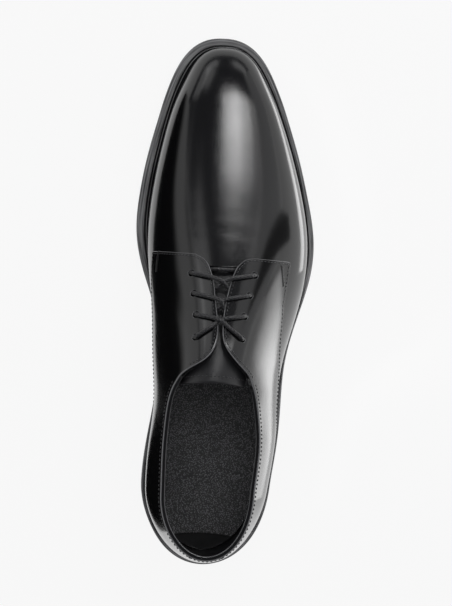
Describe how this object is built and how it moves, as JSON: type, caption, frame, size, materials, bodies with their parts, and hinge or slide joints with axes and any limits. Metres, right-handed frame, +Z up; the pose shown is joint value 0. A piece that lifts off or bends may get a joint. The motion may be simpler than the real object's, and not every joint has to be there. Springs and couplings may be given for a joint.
{
  "type": "derby dress shoe",
  "caption": "Black high-gloss plain-toe derby shoe for the right foot, with a beaded welt, rubber sole, low block heel and thin round lace.",
  "frame": {"origin": "middle of the bounding box, on the floor under the tread", "axes": "+Y from heel to toe, +X to the outer side of the right foot, +Z up"},
  "size_m": [0.1048, 0.305, 0.1047],
  "materials": {
    "sole_rubber": "black rubber, satin",
    "welt_leather": "black polished welt, satin",
    "upper_leather": "black polished box leather, high gloss with a fine grain",
    "lining_leather": "black grained leather, matt",
    "lace_cord": "black waxed round cord"
  },
  "bodies": {
    "root": {"outsole": "sole_rubber", "welt": "welt_leather", "heel": "sole_rubber", "top_lift": "sole_rubber", "upper": "upper_leather", "tongue": "upper_leather", "insole": "lining_leather", "lace_bar": "lace_cord", "lace_cross_1": "lace_cord", "lace_cross_2": "lace_cord", "lace_cross_3": "lace_cord"}
  },
  "joints": []
}
